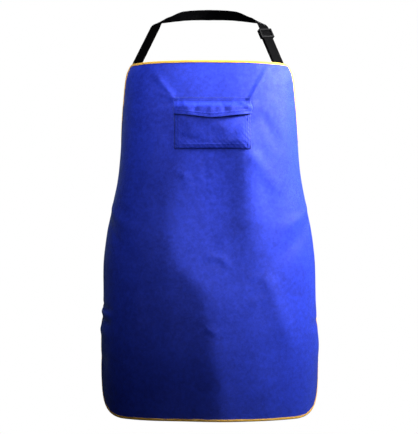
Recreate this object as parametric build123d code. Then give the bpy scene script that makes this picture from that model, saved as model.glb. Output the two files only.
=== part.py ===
from build123d import *

import os
from functools import lru_cache
from math import cos, pi, sin, sqrt

# A bib apron of flame-resistant cotton, in the shape it takes when it is worn.
# Millimetres, +Z up, +Y towards the wearer's back, +X to the right of someone facing the wearer.
# The origin is the middle of the neck loop, level with the strap on the nape.
# "rise" is a height above the middle of the hem, and "reach" is a distance along
# the cloth from the apron's centre line, positive towards +X.

# Driving dimensions of the cloth
APRON_HEIGHT = 762.0
SKIRT_WIDTH = 610.0
BIB_WIDTH = 380.0
WAIST_RISE = 450.0
ARMHOLE_EASE = 40.0
CLOTH = 1.2
TOP_CORNER = 8.0
HEM_CORNER = 118.0
TOP_BOW = 3.0

# How the cloth lies round the wearer: (rise, value), smoothly joined
HALF_WIDTHS = [(0, 232), (100, 236), (170, 236), (240, 232), (330, 230), (395, 223), (450, 212),
               (500, 201), (550, 195), (610, 191), (670, 187), (733, 180), (762, 168)]
FRONT_DEPTHS = [(0, 143), (240, 141), (450, 133), (600, 135), (680, 130), (762, 112)]
BEND = 2.1

# Binding tape, folded over every edge
BINDING_WIDTH = 5.0
BINDING_CLOTH = 0.6

# Patch pocket with a flap, closed by hook and loop tape
POCKET_SHIFT = 6.0
POCKET_HALF_WIDTH = 80.0
POCKET_BOTTOM = 573.0
POCKET_MOUTH = 662.0
POCKET_ROOM = 7.5
POCKET_CLOTH = 1.0
FLAP_HALF_WIDTH = 81.0
FLAP_TOP = 681.0
FLAP_FOLD = 674.0
FLAP_SIDE = 647.0
FLAP_TIP = 637.0
FLAP_CLOTH = 1.2
TAPE_HALF_WIDTH = 35.0
TAPE_LOW = 645.0
TAPE_HIGH = 658.0
TAPE_CLOTH = 0.7

# Clearances: between sewn layers, and between pieces that move past each other
SEWN = 0.15
FREE = 0.3
FOLD_RADIUS = CLOTH / 2 + FREE + BINDING_CLOTH / 2

# Webbing: neck strap, waist straps, and how far each laps onto the cloth
WEBBING = 25.0
PLY = 1.4
NECK_RISE = 886.0
STRAP_REACH = 172.0
NECK_LAP = 32.0
WAIST_STRAP_RISE = 441.0
WAIST_LAP = 38.0
BACK_DEPTH = 119.0
BACK_STRAIGHT = 100.0

# Corner ring that the neck strap turns round, and the slider that sets its length
RING_RISE = 748.0
RING_WIRE = 3.0
RING_ROOM = 6.0
RING_TURN = 0.5
RING_TURN_ROOM = 4.0
SLIDER_LENGTH = 22.0
SLIDER_WIDTH = 32.4
SLIDER_ROD = 2.0

# Side-release buckle at the middle of the back
BUCKLE_WIDTH = 31.0
BUCKLE_DEPTH = 9.0
BAR_DEPTH = 3.5
PLY_OFFSET = BAR_DEPTH / 2 + 0.15 + PLY / 2
SLOT_WIDTH = WEBBING + 1.2
SOCKET_BAR = 33.1
PLUG_BAR = 13.7
ARM_ROOM = 25.6
TAIL_END = 98.0
KEEPER_PLACE = 64.0
KEEPER_LENGTH = 8.0


def at_rise(table, rise):
    """Value of a (rise, value) table, with a smooth curve between its points."""
    spans = len(table) - 1
    span = max(0, min(spans - 1, sum(1 for point in table if point[0] <= rise) - 1))

    def slope(index):
        low = table[max(index - 1, 0)]
        high = table[min(index + 1, spans)]
        return (high[1] - low[1]) / (high[0] - low[0])

    (low_rise, low_value), (high_rise, high_value) = table[span], table[span + 1]
    length = high_rise - low_rise
    t = (rise - low_rise) / length
    return (
        (1 + 2 * t) * (1 - t) ** 2 * low_value
        + t * (1 - t) ** 2 * length * slope(span)
        + t * t * (3 - 2 * t) * high_value
        + t * t * (t - 1) * length * slope(span + 1)
    )


def half_cloth(rise):
    """Half the width of the flat cloth: a straight skirt, then a bib that narrows to its top."""
    above = rise - WAIST_RISE
    if above < -ARMHOLE_EASE:
        above = 0.0
    elif above < ARMHOLE_EASE:
        above = (above + ARMHOLE_EASE) ** 2 / (4 * ARMHOLE_EASE)
    return SKIRT_WIDTH / 2 + above / (APRON_HEIGHT - WAIST_RISE) * (BIB_WIDTH - SKIRT_WIDTH) / 2


def run(turn, span, share, steps=24):
    """How far the cloth goes sideways and back, over a share of a span that turns by turn."""
    side, back = 0.0, 0.0
    for step in range(steps):
        heading = turn * (share * (step + 0.5) / steps) ** BEND
        side += cos(heading)
        back += sin(heading)
    return side * span * share / steps, back * span * share / steps


@lru_cache(maxsize=None)
def edge_turn(rise):
    """Angle that the cloth has turned through at its edge, from the width it must take up."""
    span, wanted = half_cloth(rise), at_rise(HALF_WIDTHS, rise)
    low, high = 0.3, 2.6
    for _ in range(40):
        turn = (low + high) / 2
        share = min(1.0, (pi / 2 / turn) ** (1 / BEND))
        if run(turn, span, share)[0] > wanted:
            low = turn
        else:
            high = turn
    return turn


def on_body(reach, rise):
    """Point of the cloth's middle surface."""
    span = half_cloth(rise)
    side, back = run(edge_turn(rise), span, abs(reach) / span)
    x = side if reach >= 0 else -side
    return Vector(x, back - at_rise(FRONT_DEPTHS, rise), rise - NECK_RISE)


def outward(reach, rise, step=2.0):
    """Unit normal of the cloth, pointing away from the wearer."""
    low = min(max(rise, step), APRON_HEIGHT - step)
    across = on_body(reach + step, low) - on_body(reach - step, low)
    up = on_body(reach, low + step) - on_body(reach, low - step)
    return across.cross(up).normalized()


def layer(reach, rise, height):
    """Point at a height off the cloth's middle surface, positive away from the wearer."""
    return on_body(reach, rise) + outward(reach, rise) * height


def corner_drop(distance, radius):
    """How far a round corner falls short of the edge, at a distance into the corner."""
    inside = min(max(distance, 0.0), radius)
    return radius - sqrt(radius * radius - inside * inside)


def cloth_place(u, v, inset=0.0):
    """Reach and rise for u from -1 to 1 across and v from 0 to 1 up the apron, inside an inset."""
    skirt, bib = SKIRT_WIDTH / 2 - inset, BIB_WIDTH / 2 - inset
    hem_corner, top_corner = HEM_CORNER - inset, TOP_CORNER - inset
    low = inset + corner_drop(abs(u) * skirt - skirt + hem_corner, hem_corner)
    high = APRON_HEIGHT - inset - TOP_BOW * u * u
    high -= corner_drop(abs(u) * bib - bib + top_corner, top_corner)
    rise = low + v * (high - low)
    return u * (half_cloth(rise) - inset), rise


def steps(low, high, count):
    """Evenly spaced numbers from low to high."""
    return [low + (high - low) * i / (count - 1) for i in range(count)]


def rounded_steps(count):
    """Numbers from -1 to 1, closer together at the ends, where the corners are."""
    return [sin(pi / 2 * t) for t in steps(-1, 1, count)]


def sheet(point_at, us, vs, low, high):
    """Closed sheet of cloth: point_at(u, v, height) gives its points at the heights low and high."""
    faces = [
        Face.make_surface_from_array_of_points([[point_at(u, v, height) for u in us] for v in vs])
        for height in (low, high)
    ]
    edges = [face.outer_wire().edges() for face in faces]
    sides = [Face.make_surface_from_curves(one, other) for one, other in zip(*edges)]
    return Solid(Shell(Face.sew_faces(faces + sides)[0]))


def band(sections, ruled=False):
    """Solid through a row of closed sections, each a list of points."""
    wires = [Wire.make_polygon(points, close=True) for points in sections]
    return Solid.make_loft(wires, ruled)


def webbing(frames, width=WEBBING, thickness=PLY):
    """Flat webbing through frames: each has a centre, a direction off its face and one across it."""
    sections = []
    for centre, off_face, across in frames:
        n = off_face.normalized() * (thickness / 2)
        w = across.normalized() * (width / 2)
        sections.append([centre - w - n, centre + w - n, centre + w + n, centre - w + n])
    return band(sections, ruled=True)


def turn_frames(centre, start, travel, across, radius, angle=pi, count=9):
    """Frames that carry webbing round a bar, from the start side of it, moving off along travel."""
    frames = []
    for step in range(count):
        swing = angle * step / (count - 1)
        off_face = start * cos(swing) + travel * sin(swing)
        frames.append((centre + off_face * radius, off_face, across))
    return frames


# --- cloth ---


def main_panel():
    def point(u, v, height):
        return layer(*cloth_place(u, v, FOLD_RADIUS + BINDING_CLOTH / 2 + SEWN), height)

    return sheet(point, rounded_steps(41), steps(0, 1, 57), -CLOTH / 2, CLOTH / 2)


def binding_profile():
    """The folded tape's middle line: (depth from the edge, height, direction off it)."""
    centre = FOLD_RADIUS + BINDING_CLOTH / 2
    fold = [pi * (t - 0.5) for t in steps(0, 1, 9)]
    flat = steps(BINDING_WIDTH, centre + 0.5, 4)
    back = [(depth, -FOLD_RADIUS, (0, -1)) for depth in flat]
    round_edge = [
        (centre - FOLD_RADIUS * cos(swing), FOLD_RADIUS * sin(swing), (-cos(swing), sin(swing))) for swing in fold
    ]
    front = [(depth, FOLD_RADIUS, (0, 1)) for depth in flat[::-1]]
    return back + round_edge + front


def binding(path):
    """Tape folded over an edge. path gives (reach, rise) points with the cloth on their left."""
    profile = binding_profile()

    def point(place, line, off):
        before, after = path[max(place - 1, 0)], path[min(place + 1, len(path) - 1)]
        along, up = after[0] - before[0], after[1] - before[1]
        length = sqrt(along * along + up * up)
        depth, height, (off_depth, off_height) = profile[line]
        depth += off * off_depth
        reach = path[place][0] - up / length * depth
        rise = path[place][1] + along / length * depth
        return layer(reach, rise, height + off * off_height)

    return sheet(point, range(len(path)), range(len(profile)), -BINDING_CLOTH / 2, BINDING_CLOTH / 2)


def binding_hem():
    """Hem tape, with both round corners."""
    return binding([cloth_place(u, 0) for u in rounded_steps(61)])


def binding_side(side):
    """Tape up one side, from the hem's round corner to just under the top tape."""
    first = 1 / APRON_HEIGHT
    last = 1 - (BINDING_WIDTH + 1) / APRON_HEIGHT
    path = [cloth_place(side, v) for v in steps(first, last, 57)]
    return binding(path if side > 0 else path[::-1])


def binding_top():
    return binding([cloth_place(-u, 1) for u in rounded_steps(41)])


def pocket_lift(reach, rise):
    """How far the pocket's cloth stands off the panel: sewn down at three sides, loose at its mouth."""
    across = abs(reach - POCKET_SHIFT) / POCKET_HALF_WIDTH
    up = (rise - POCKET_BOTTOM) / (POCKET_MOUTH - POCKET_BOTTOM)
    sewn = CLOTH / 2 + SEWN + POCKET_CLOTH / 2
    loose = max(0.0, 1 - min(across, 1.0) ** 3) * sin(pi / 2 * min(max(up, 0.0), 1.0)) ** 0.6
    return sewn + POCKET_ROOM * loose


def pocket_panel():
    def point(u, v, height):
        reach = POCKET_SHIFT + u * POCKET_HALF_WIDTH
        rise = POCKET_BOTTOM + v * (POCKET_MOUTH - POCKET_BOTTOM)
        return layer(reach, rise, pocket_lift(reach, rise) + height)

    return sheet(point, steps(-1, 1, 25), [v ** 1.5 for v in steps(0, 1, 17)], -POCKET_CLOTH / 2,
                 POCKET_CLOTH / 2)


def tape(first):
    """One half of the closure, starting at a height over the pocket's cloth."""

    def point(u, v, height):
        reach = POCKET_SHIFT + u * TAPE_HALF_WIDTH
        rise = TAPE_LOW + v * (TAPE_HIGH - TAPE_LOW)
        return layer(reach, rise, pocket_lift(reach, rise) + POCKET_CLOTH / 2 + height)

    return sheet(point, steps(-1, 1, 13), steps(0, 1, 5), first, first + TAPE_CLOTH)


def hook_tape():
    return tape(SEWN)


def loop_tape():
    return tape(SEWN + TAPE_CLOTH + FREE)


def flap_lift(reach, rise):
    """How far the flap stands off the panel: sewn down at its top, then over the pocket and tapes."""
    sewn = CLOTH / 2 + SEWN + FREE + FLAP_CLOTH / 2
    closure = POCKET_CLOTH / 2 + 2 * TAPE_CLOTH + FREE + 2 * SEWN + FLAP_CLOTH / 2
    over = pocket_lift(reach, rise) + closure
    drop = min(max((FLAP_FOLD - rise) / (FLAP_FOLD - POCKET_MOUTH + 3), 0.0), 1.0)
    ease = drop * drop * (3 - 2 * drop)
    return sewn + (over - sewn) * ease


def flap_sheet(lowest, high, rows):
    """Part of the flap's cloth, from its lowest line, a function of u, up to a straight line."""

    def point(u, v, height):
        reach = POCKET_SHIFT + u * FLAP_HALF_WIDTH
        low = lowest(u)
        rise = low + v * (high - low)
        return layer(reach, rise, flap_lift(reach, rise) + height)

    return sheet(point, steps(-1, 1, 31), steps(0, 1, rows), -FLAP_CLOTH / 2, FLAP_CLOTH / 2)


def flap_seam():
    """Top strip of the flap, sewn flat to the panel."""
    return flap_sheet(lambda u: FLAP_FOLD, FLAP_TOP, 3)


def pocket_flap():
    """Loose part of the flap, with a shallow point at its lower edge."""
    return flap_sheet(lambda u: FLAP_TIP + (FLAP_SIDE - FLAP_TIP) * sqrt(u * u + 0.01), FLAP_FOLD - FREE, 17)


def pocket_tacks():
    """Short bars of dense stitching at the pocket's four corners."""
    half_length, half_width, thread = 4.5, 1.0, 0.5
    inset = 6.0
    tacks = []
    for side in (-1, 1):
        for corner_rise in (POCKET_BOTTOM + inset, FLAP_SIDE - inset - half_length):

            def point(u, v, height, middle=POCKET_SHIFT + side * (POCKET_HALF_WIDTH - inset), low=corner_rise):
                reach, rise = middle + u * half_width, low + v * half_length
                return layer(reach, rise, pocket_lift(reach, rise) + POCKET_CLOTH / 2 + SEWN + height)

            tacks.append(sheet(point, steps(-1, 1, 3), steps(-1, 1, 5), 0, thread))
    return Compound(tacks)


def inner_label():
    """Blank label sewn inside the skirt."""
    middle, low, half_width, tall, cloth = -215.0, 330.0, 16.0, 45.0, 0.3

    def point(u, v, height):
        return layer(middle + u * half_width, low + v * tall, height)

    return sheet(point, steps(-1, 1, 7), steps(0, 1, 5), -CLOTH / 2 - SEWN - cloth, -CLOTH / 2 - SEWN)


# --- neck strap ---

# One half of the neck loop past the straight stretch, as places and directions off the strap's face
SHOULDER_BEND = Vector(119, -28, -45)
NECK_PLACES = [SHOULDER_BEND, Vector(96, 16, -21), Vector(62, 63, -6), Vector(0, 85, 0)]
NECK_FACINGS = [Vector(0.62, -0.12, 0.78), Vector(0.56, 0.6, 0.57), Vector(0, 0.9, 0.44)]
LAP_ROOM = 1.2
EDGE_CLEAR = FOLD_RADIUS + BINDING_CLOTH / 2 + LAP_ROOM + PLY / 2


def mirrored(vector):
    return Vector(-vector.X, vector.Y, vector.Z)


def ring_facing():
    """Way that the ring faces: the cloth's own way, turned a little to the front by the strap."""
    return (outward(STRAP_REACH, RING_RISE) + Vector(0, -RING_TURN, 0)).normalized()


def ring_axes():
    """The straight stretch over the corner ring: its foot, its direction, off its face, across it."""
    foot = layer(STRAP_REACH, RING_RISE, -EDGE_CLEAR - RING_TURN_ROOM)
    along = (SHOULDER_BEND - foot).normalized()
    facing = ring_facing()
    across = along.cross(facing).normalized()
    return foot, along, across.cross(along).normalized(), across


def loop_frames(count=40):
    """Frames from the right shoulder's bend round the nape to the left shoulder's bend."""
    foot, start, facing, across = ring_axes()
    half_facings = [facing] + NECK_FACINGS
    places = NECK_PLACES + [mirrored(place) for place in NECK_PLACES[-2::-1]]
    facings = half_facings + [mirrored(facing) for facing in half_facings[-2::-1]]
    route = Edge.make_spline(places, tangents=[start, mirrored(start) * -1])
    shares = [route.param_at_point(place) for place in places]
    frames = []
    for t in steps(0, 1, count):
        span = max(0, min(len(shares) - 2, sum(1 for share in shares if share <= t) - 1))
        blend = (t - shares[span]) / (shares[span + 1] - shares[span])
        facing = facings[span] * (1 - blend) + facings[span + 1] * blend
        across = (route % t).cross(facing).normalized()
        frames.append((route @ t, across.cross(route % t), across))
    return frames


def neck_strap():
    """Webbing from the ring at the right corner, over both shoulders, to its lap behind the left."""
    foot, along, facing, across = ring_axes()
    turn_radius = RING_WIRE / 2 + 2 * SEWN + PLY / 2
    turn = turn_frames(foot - facing * turn_radius, facing * -1, along * -1, across, turn_radius)
    left_lap = []
    for rise in steps(APRON_HEIGHT, APRON_HEIGHT - NECK_LAP, 4):
        reach = -STRAP_REACH - 0.3 * (APRON_HEIGHT - rise)
        up = on_body(reach + 0.3, rise - 1) - on_body(reach, rise)
        facing_out = outward(reach, rise)
        left_lap.append((layer(reach, rise, -EDGE_CLEAR), facing_out, up.cross(facing_out)))
    return webbing(turn + loop_frames() + left_lap)


def slider_place():
    """Middle of the slider's rod, at the top of the strap's straight stretch."""
    foot, along, facing, across = ring_axes()
    wrap = PLY / 2 + FREE + PLY + 2 * SEWN + SLIDER_ROD / 2
    return SHOULDER_BEND - along * (SLIDER_LENGTH / 2 + 3) - facing * wrap


def neck_strap_return():
    """The same webbing coming back up behind itself from the ring, sewn round the slider's rod."""
    foot, along, facing, across = ring_axes()
    start = foot - facing * (RING_WIRE + 4 * SEWN + PLY) + along * FREE
    radius = SLIDER_ROD / 2 + 2 * SEWN + PLY / 2
    rod = slider_place()
    wrap = turn_frames(rod, facing * -1, along, across, radius)
    stub = rod + facing * radius - along * 9
    return webbing([(start, facing * -1, across)] + wrap + [(stub, facing, across)])


def local(centre, along, facing):
    """Frame with X along the strap's width, Y up the strap and Z off its face."""
    return Plane(origin=centre, x_dir=along.cross(facing), z_dir=facing)


def neck_slider():
    """Tri-glide: two bars in front of the strap, and a rod behind it that holds the sewn end."""
    foot, along, facing, across = ring_axes()
    rod = slider_place()
    front = PLY / 2 + 0.4 + PLY / 2 + FREE + PLY + 2 * SEWN + SLIDER_ROD / 2
    depth_low, depth_high = -SLIDER_ROD, front + 1.8
    rail_width = 3.0
    bar_length = 3.6
    rail_middle = (SLIDER_WIDTH - rail_width) / 2
    depth = depth_high - depth_low
    middle = (depth_high + depth_low) / 2
    rails = [Pos(side * rail_middle, 0, middle) * Box(rail_width, SLIDER_LENGTH, depth) for side in (-1, 1)]
    bars = [
        Pos(0, side * (SLIDER_LENGTH - bar_length) / 2, front + 0.9) * Box(SLIDER_WIDTH, bar_length, 1.8)
        for side in (-1, 1)
    ]
    rail_solids = [fillet(rail.edges().filter_by(Axis.X), 1.2) for rail in rails]
    rod_solid = Rot(0, 90, 0) * Cylinder(SLIDER_ROD / 2, SLIDER_WIDTH - rail_width)
    body = rail_solids[0] + rail_solids[1] + bars[0] + bars[1] + rod_solid
    return local(rod, along, facing).location * body


def ring_middle():
    """Middle of the ring's upper bar, and the ring's own up direction, near the cloth's back."""
    foot, along, facing, across = ring_axes()
    ring_off = ring_facing()
    up = (along - ring_off * along.dot(ring_off)).normalized()
    bar = foot - facing * (RING_WIRE / 2 + 2 * SEWN + PLY / 2)
    return bar, up, ring_off, across


def corner_ring():
    """Rectangular wire ring held behind the bib's right corner."""
    bar, up, facing, across = ring_middle()
    half_width = WEBBING / 2 + 1.0 + RING_WIRE / 2
    drop = RING_ROOM + RING_WIRE
    path = Polyline((-half_width, 0), (half_width, 0), (half_width, -drop), (-half_width, -drop), close=True)
    rounded = fillet(path.vertices(), 2.0)
    start = rounded @ 0
    wire = Plane(origin=start, z_dir=rounded % 0) * Circle(RING_WIRE / 2)
    return local(bar, up, facing).location * sweep(wire, path=rounded)


def ring_tab():
    """Short webbing folded through the ring and sewn to the cloth's back."""
    bar, up, facing, across = ring_middle()
    radius = RING_WIRE / 2 + 2 * SEWN + PLY / 2
    lower_bar = bar - up * (RING_ROOM + RING_WIRE)
    aside = sqrt(1 - up.Z ** 2)

    def on_back(down, plies):
        reach, rise = STRAP_REACH + aside * down, RING_RISE - up.Z * down
        off = outward(reach, rise)
        return layer(reach, rise, -EDGE_CLEAR - 0.6 - plies * (PLY + 2 * SEWN)), off, up.cross(off)

    front = [on_back(down, 0) for down in (44, 33, 22)]
    rear = [on_back(down, 1) for down in (24, 33, 44)]
    frames = list(front)
    frames += turn_frames(lower_bar, facing, up, across, radius)
    frames.append((lower_bar - facing * radius - up * 3, facing * -1, across))
    frames += [(place, off * -1, aside_of_cloth) for place, off, aside_of_cloth in rear]
    return webbing(frames)


# --- waist straps and buckle ---

UP = Vector(0, 0, 1)
BUCKLE = Vector(0, BACK_DEPTH, WAIST_STRAP_RISE - NECK_RISE)


def waist_frames(side, count=24):
    """Frames from the lap inside the cloth's edge to the straight stretch across the back."""
    clear = FOLD_RADIUS + BINDING_CLOTH / 2 + FREE + PLY / 2
    edge = half_cloth(WAIST_STRAP_RISE)
    frames = []
    for reach in steps(edge - WAIST_LAP, edge, 6):
        up = layer(side * reach, WAIST_STRAP_RISE + 5, -clear) - layer(side * reach, WAIST_STRAP_RISE - 5, -clear)
        frames.append((layer(side * reach, WAIST_STRAP_RISE, -clear), outward(side * reach, WAIST_STRAP_RISE), up))
    start, before = frames[-1][0], frames[-2][0]
    lean = frames[-1][2].normalized()
    end = BUCKLE + Vector(side * BACK_STRAIGHT, -PLY_OFFSET, 0)
    route = Edge.make_spline([start, end], tangents=[(start - before).normalized(), Vector(-side, 0, 0)],
                             scale=True)
    for t in steps(0, 1, count)[1:]:
        across = (lean * (1 - t) + UP * t).normalized()
        frames.append((route @ t, (route % t).cross(across) * side, across))
    return frames


def buckle_frames(side, bar_place):
    """Frames of a waist strap up to the end of its turn round a buckle's bar, facing the wearer first."""
    frames = [(centre, facing * -1, across) for centre, facing, across in waist_frames(side)]
    bar = BUCKLE + Vector(side * bar_place, 0, 0)
    return frames + turn_frames(bar, Vector(0, -1, 0), Vector(-side, 0, 0), UP, PLY_OFFSET)


def second_ply(side, distance, depth):
    """Frame of the ply that comes back along a waist strap, on the side away from the wearer."""
    return BUCKLE + Vector(side * distance, depth, 0), Vector(0, 1, 0), UP


def waist_strap_right():
    """Webbing from the right edge, sewn round the socket's bar."""
    sewn_depth = PLY + 2 * SEWN - PLY_OFFSET
    past_bar = second_ply(1, SOCKET_BAR + 5, PLY_OFFSET)
    back = [second_ply(1, distance, sewn_depth) for distance in (SOCKET_BAR + 15, SOCKET_BAR + 46)]
    return webbing(buckle_frames(1, SOCKET_BAR) + [past_bar] + back)


def waist_strap_left():
    """Webbing from the left edge, round the plug's front bar and under its rear bar, with a free tail."""
    tail_depth = PLY + 2 * SEWN - PLY_OFFSET
    over_bar = second_ply(-1, PLUG_BAR + 3.5, PLY_OFFSET)
    tail = [second_ply(-1, distance, tail_depth) for distance in (PLUG_BAR + 8.5, TAIL_END)]
    return webbing(buckle_frames(-1, PLUG_BAR) + [over_bar] + tail)


def at_buckle(shape):
    return Location(BUCKLE) * shape


def buckle_socket():
    """Hollow half of the side-release buckle, open on both edges where its arms are pressed."""
    wall = 1.8
    shell = Pos(18, 0, 0) * Box(38, BUCKLE_DEPTH, BUCKLE_WIDTH)
    shell = fillet(shell.edges().filter_by(Axis.X), 2.0)
    shell = fillet(shell.edges().group_by(Axis.X)[-1], 1.5)
    room = Pos(11.5, 0, 0) * Box(25, BUCKLE_DEPTH - 2 * wall, ARM_ROOM)
    windows = Pos(14, 0, 0) * Box(12, BUCKLE_DEPTH - 2 * wall, BUCKLE_WIDTH + 2)
    slot = Pos(30, 0, 0) * Box(5, BUCKLE_DEPTH + 2, SLOT_WIDTH)
    bar_reliefs = [
        Pos(35, face * (BAR_DEPTH + BUCKLE_DEPTH) / 4, 0) * Box(6, (BUCKLE_DEPTH - BAR_DEPTH) / 2, SLOT_WIDTH)
        for face in (-1, 1)
    ]
    return at_buckle(shell - room - windows - slot - bar_reliefs[0] - bar_reliefs[1])


def buckle_plug():
    """Half that slides in: a frame with two webbing bars, two arms and a middle guide."""
    depth = 8.0
    rail = (BUCKLE_WIDTH - SLOT_WIDTH) / 2
    shoulder = fillet((Pos(-5.2, 0, 0) * Box(5.4, depth, BUCKLE_WIDTH)).edges().filter_by(Axis.Y), 1.5)
    rails = [
        Pos(-15.5, 0, side * (BUCKLE_WIDTH - rail) / 2) * Box(24, depth, rail) for side in (-1, 1)
    ]
    front_bar = Pos(-PLUG_BAR - 1.1, 0, 0) * Box(3.5, BAR_DEPTH, SLOT_WIDTH + 1)
    rear_bar = Pos(-25.2, 2.4, 0) * Box(3.6, 3.2, SLOT_WIDTH + 1)
    arms = [Pos(9, 0, side * 10.2) * Box(24, 4.4, 3.8) for side in (-1, 1)]
    arm_roots = Pos(-1.5, 0, 0) * Box(3, 4.4, 22)
    guide = Pos(9, 0, 0) * Box(24, 4.4, 4.0)
    pads = [
        fillet((Pos(14, 0, side * 11.2) * Box(9, 4.4, 2.4)).edges().filter_by(Axis.Y), 0.8) for side in (-1, 1)
    ]
    plug = shoulder + front_bar + rear_bar + arm_roots + guide
    for piece in rails + arms + pads:
        plug = plug + piece
    return at_buckle(plug)


def tail_keeper():
    """Loop that holds the free tail against the strap."""
    wall = 1.5
    inner_depth = 2 * PLY + 2 * SEWN + 1.0
    inner_width = WEBBING + 1.2
    loop = Box(KEEPER_LENGTH, inner_depth + 2 * wall, inner_width + 2 * wall)
    loop = fillet(loop.edges().filter_by(Axis.X), 1.2)
    loop = loop - Box(KEEPER_LENGTH + 2, inner_depth, inner_width)
    middle_depth = -PLY_OFFSET + PLY / 2 + SEWN
    return at_buckle(Pos(-KEEPER_PLACE, middle_depth, 0) * loop)


def all_parts():
    return {
        "main_panel": main_panel(),
        "binding_hem": binding_hem(),
        "binding_left": binding_side(-1),
        "binding_right": binding_side(1),
        "binding_top": binding_top(),
        "pocket_panel": pocket_panel(),
        "pocket_tacks": pocket_tacks(),
        "hook_tape": hook_tape(),
        "flap_seam": flap_seam(),
        "pocket_flap": pocket_flap(),
        "loop_tape": loop_tape(),
        "inner_label": inner_label(),
        "neck_strap": neck_strap(),
        "neck_strap_return": neck_strap_return(),
        "neck_slider": neck_slider(),
        "corner_ring": corner_ring(),
        "ring_tab": ring_tab(),
        "waist_strap_left": waist_strap_left(),
        "waist_strap_right": waist_strap_right(),
        "buckle_socket": buckle_socket(),
        "buckle_plug": buckle_plug(),
        "tail_keeper": tail_keeper(),
    }


os.makedirs("parts", exist_ok=True)
for name, solid in all_parts().items():
    export_step(solid, f"parts/{name}.step")
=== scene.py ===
from math import cos, pi, radians, sin, sqrt

import bpy
import numpy as np
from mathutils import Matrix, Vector


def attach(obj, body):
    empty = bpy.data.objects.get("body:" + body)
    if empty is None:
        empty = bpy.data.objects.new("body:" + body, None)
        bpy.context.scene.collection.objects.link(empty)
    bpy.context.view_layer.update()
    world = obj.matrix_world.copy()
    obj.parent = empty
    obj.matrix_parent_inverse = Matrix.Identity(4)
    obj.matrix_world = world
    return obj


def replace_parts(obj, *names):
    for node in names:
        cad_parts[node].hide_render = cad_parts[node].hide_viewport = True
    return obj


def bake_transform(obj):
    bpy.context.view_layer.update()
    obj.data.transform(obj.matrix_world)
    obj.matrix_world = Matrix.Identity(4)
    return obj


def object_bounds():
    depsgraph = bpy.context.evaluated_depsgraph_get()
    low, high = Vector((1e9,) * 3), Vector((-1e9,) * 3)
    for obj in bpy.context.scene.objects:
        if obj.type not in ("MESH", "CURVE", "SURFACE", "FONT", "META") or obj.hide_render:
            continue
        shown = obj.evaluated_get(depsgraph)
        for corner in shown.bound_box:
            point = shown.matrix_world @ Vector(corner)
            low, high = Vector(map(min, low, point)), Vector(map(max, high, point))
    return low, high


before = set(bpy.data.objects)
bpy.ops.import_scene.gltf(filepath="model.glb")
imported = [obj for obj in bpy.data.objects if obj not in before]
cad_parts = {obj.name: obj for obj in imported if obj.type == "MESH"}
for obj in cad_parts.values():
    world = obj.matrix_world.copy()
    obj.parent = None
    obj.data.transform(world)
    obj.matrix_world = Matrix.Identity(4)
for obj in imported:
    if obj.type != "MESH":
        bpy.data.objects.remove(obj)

cad_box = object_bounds()

# A bib apron of flame-resistant cotton, in the shape it takes when it is worn. Metres, +Z up,
# the wearer's back towards +Y. "rise" is a height above the middle of the hem, and "reach" is a
# distance along the cloth from its centre line. The cloth's shape repeats the CAD's formulas.

# Cloth
APRON_HEIGHT = 0.762
SKIRT_WIDTH = 0.610
BIB_WIDTH = 0.380
WAIST_RISE = 0.450
ARMHOLE_EASE = 0.040
CLOTH = 0.0012
TOP_CORNER = 0.008
HEM_CORNER = 0.118
TOP_BOW = 0.003
TWILL_PITCH = 0.0011
YARN_PITCH = TWILL_PITCH * 0.62
NECK_RISE = 0.886
HALF_WIDTHS = [(0, 0.232), (0.1, 0.236), (0.17, 0.236), (0.24, 0.232), (0.33, 0.23), (0.395, 0.223),
               (0.45, 0.212), (0.5, 0.201), (0.55, 0.195), (0.61, 0.191), (0.67, 0.187),
               (0.733, 0.18), (0.762, 0.168)]
FRONT_DEPTHS = [(0, 0.143), (0.24, 0.141), (0.45, 0.133), (0.6, 0.135), (0.68, 0.13), (0.762, 0.112)]
BEND = 2.1

# Binding tape, pocket, flap and closure
BINDING_WIDTH = 0.005
BINDING_CLOTH = 0.0006
BINDING_STITCH = 0.0036
BINDING_PITCH = 0.0035
BINDING_EVEN = 0.002
SEWN = 0.00015
FREE = 0.0003
FOLD_RADIUS = CLOTH / 2 + FREE + BINDING_CLOTH / 2
BOUND = FOLD_RADIUS + BINDING_CLOTH / 2
POCKET_SHIFT = 0.006
POCKET_HALF_WIDTH = 0.08
POCKET_BOTTOM = 0.573
POCKET_MOUTH = 0.662
POCKET_ROOM = 0.0075
POCKET_CLOTH = 0.001
FLAP_HALF_WIDTH = 0.081
FLAP_TOP = 0.681
FLAP_FOLD = 0.674
FLAP_SIDE = 0.647
FLAP_TIP = 0.637
FLAP_CLOTH = 0.0012
FLAP_ROOM = 0.0007
TAPE_HALF_WIDTH = 0.035
TAPE_LOW = 0.645
TAPE_HIGH = 0.658
TAPE_CLOTH = 0.0007
LABEL_REACH = -0.215
LABEL_LOW = 0.330
LABEL_HALF_WIDTH = 0.016
LABEL_HEIGHT = 0.045
LABEL_CLOTH = 0.0003

# Webbing and the things on it
WEBBING = 0.025
PLY = 0.0014
STRAP_REACH = 0.172
NECK_LAP = 0.032
LAP_START = 0.007
WAIST_STRAP_RISE = 0.441
WAIST_LAP = 0.038
BACK_DEPTH = 0.119
BACK_STRAIGHT = 0.1
RING_RISE = 0.748
RING_WIRE = 0.003
RING_ROOM = 0.006
RING_TAB = 0.044
RING_TAB_ROOM = 0.0006
RING_TURN = 0.5
RING_TURN_ROOM = 0.004
SLIDER_LENGTH = 0.022
SLIDER_ROD = 0.002
PLY_OFFSET = 0.0035 / 2 + SEWN + PLY / 2
SOCKET_BAR = 0.0331
PLUG_BAR = 0.0137
SEWN_END = (0.015, 0.046)
SEWN_BOX = 0.034
TAIL_START = 0.0085
TAIL_END = 0.098
SLIDER_STUB = 0.009
LAP_ROOM = 0.0012
EDGE_CLEAR = BOUND + LAP_ROOM + PLY / 2
WAIST_CLEAR = BOUND + FREE + PLY / 2
RING_WRAP = RING_WIRE / 2 + 2 * SEWN + PLY / 2
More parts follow.
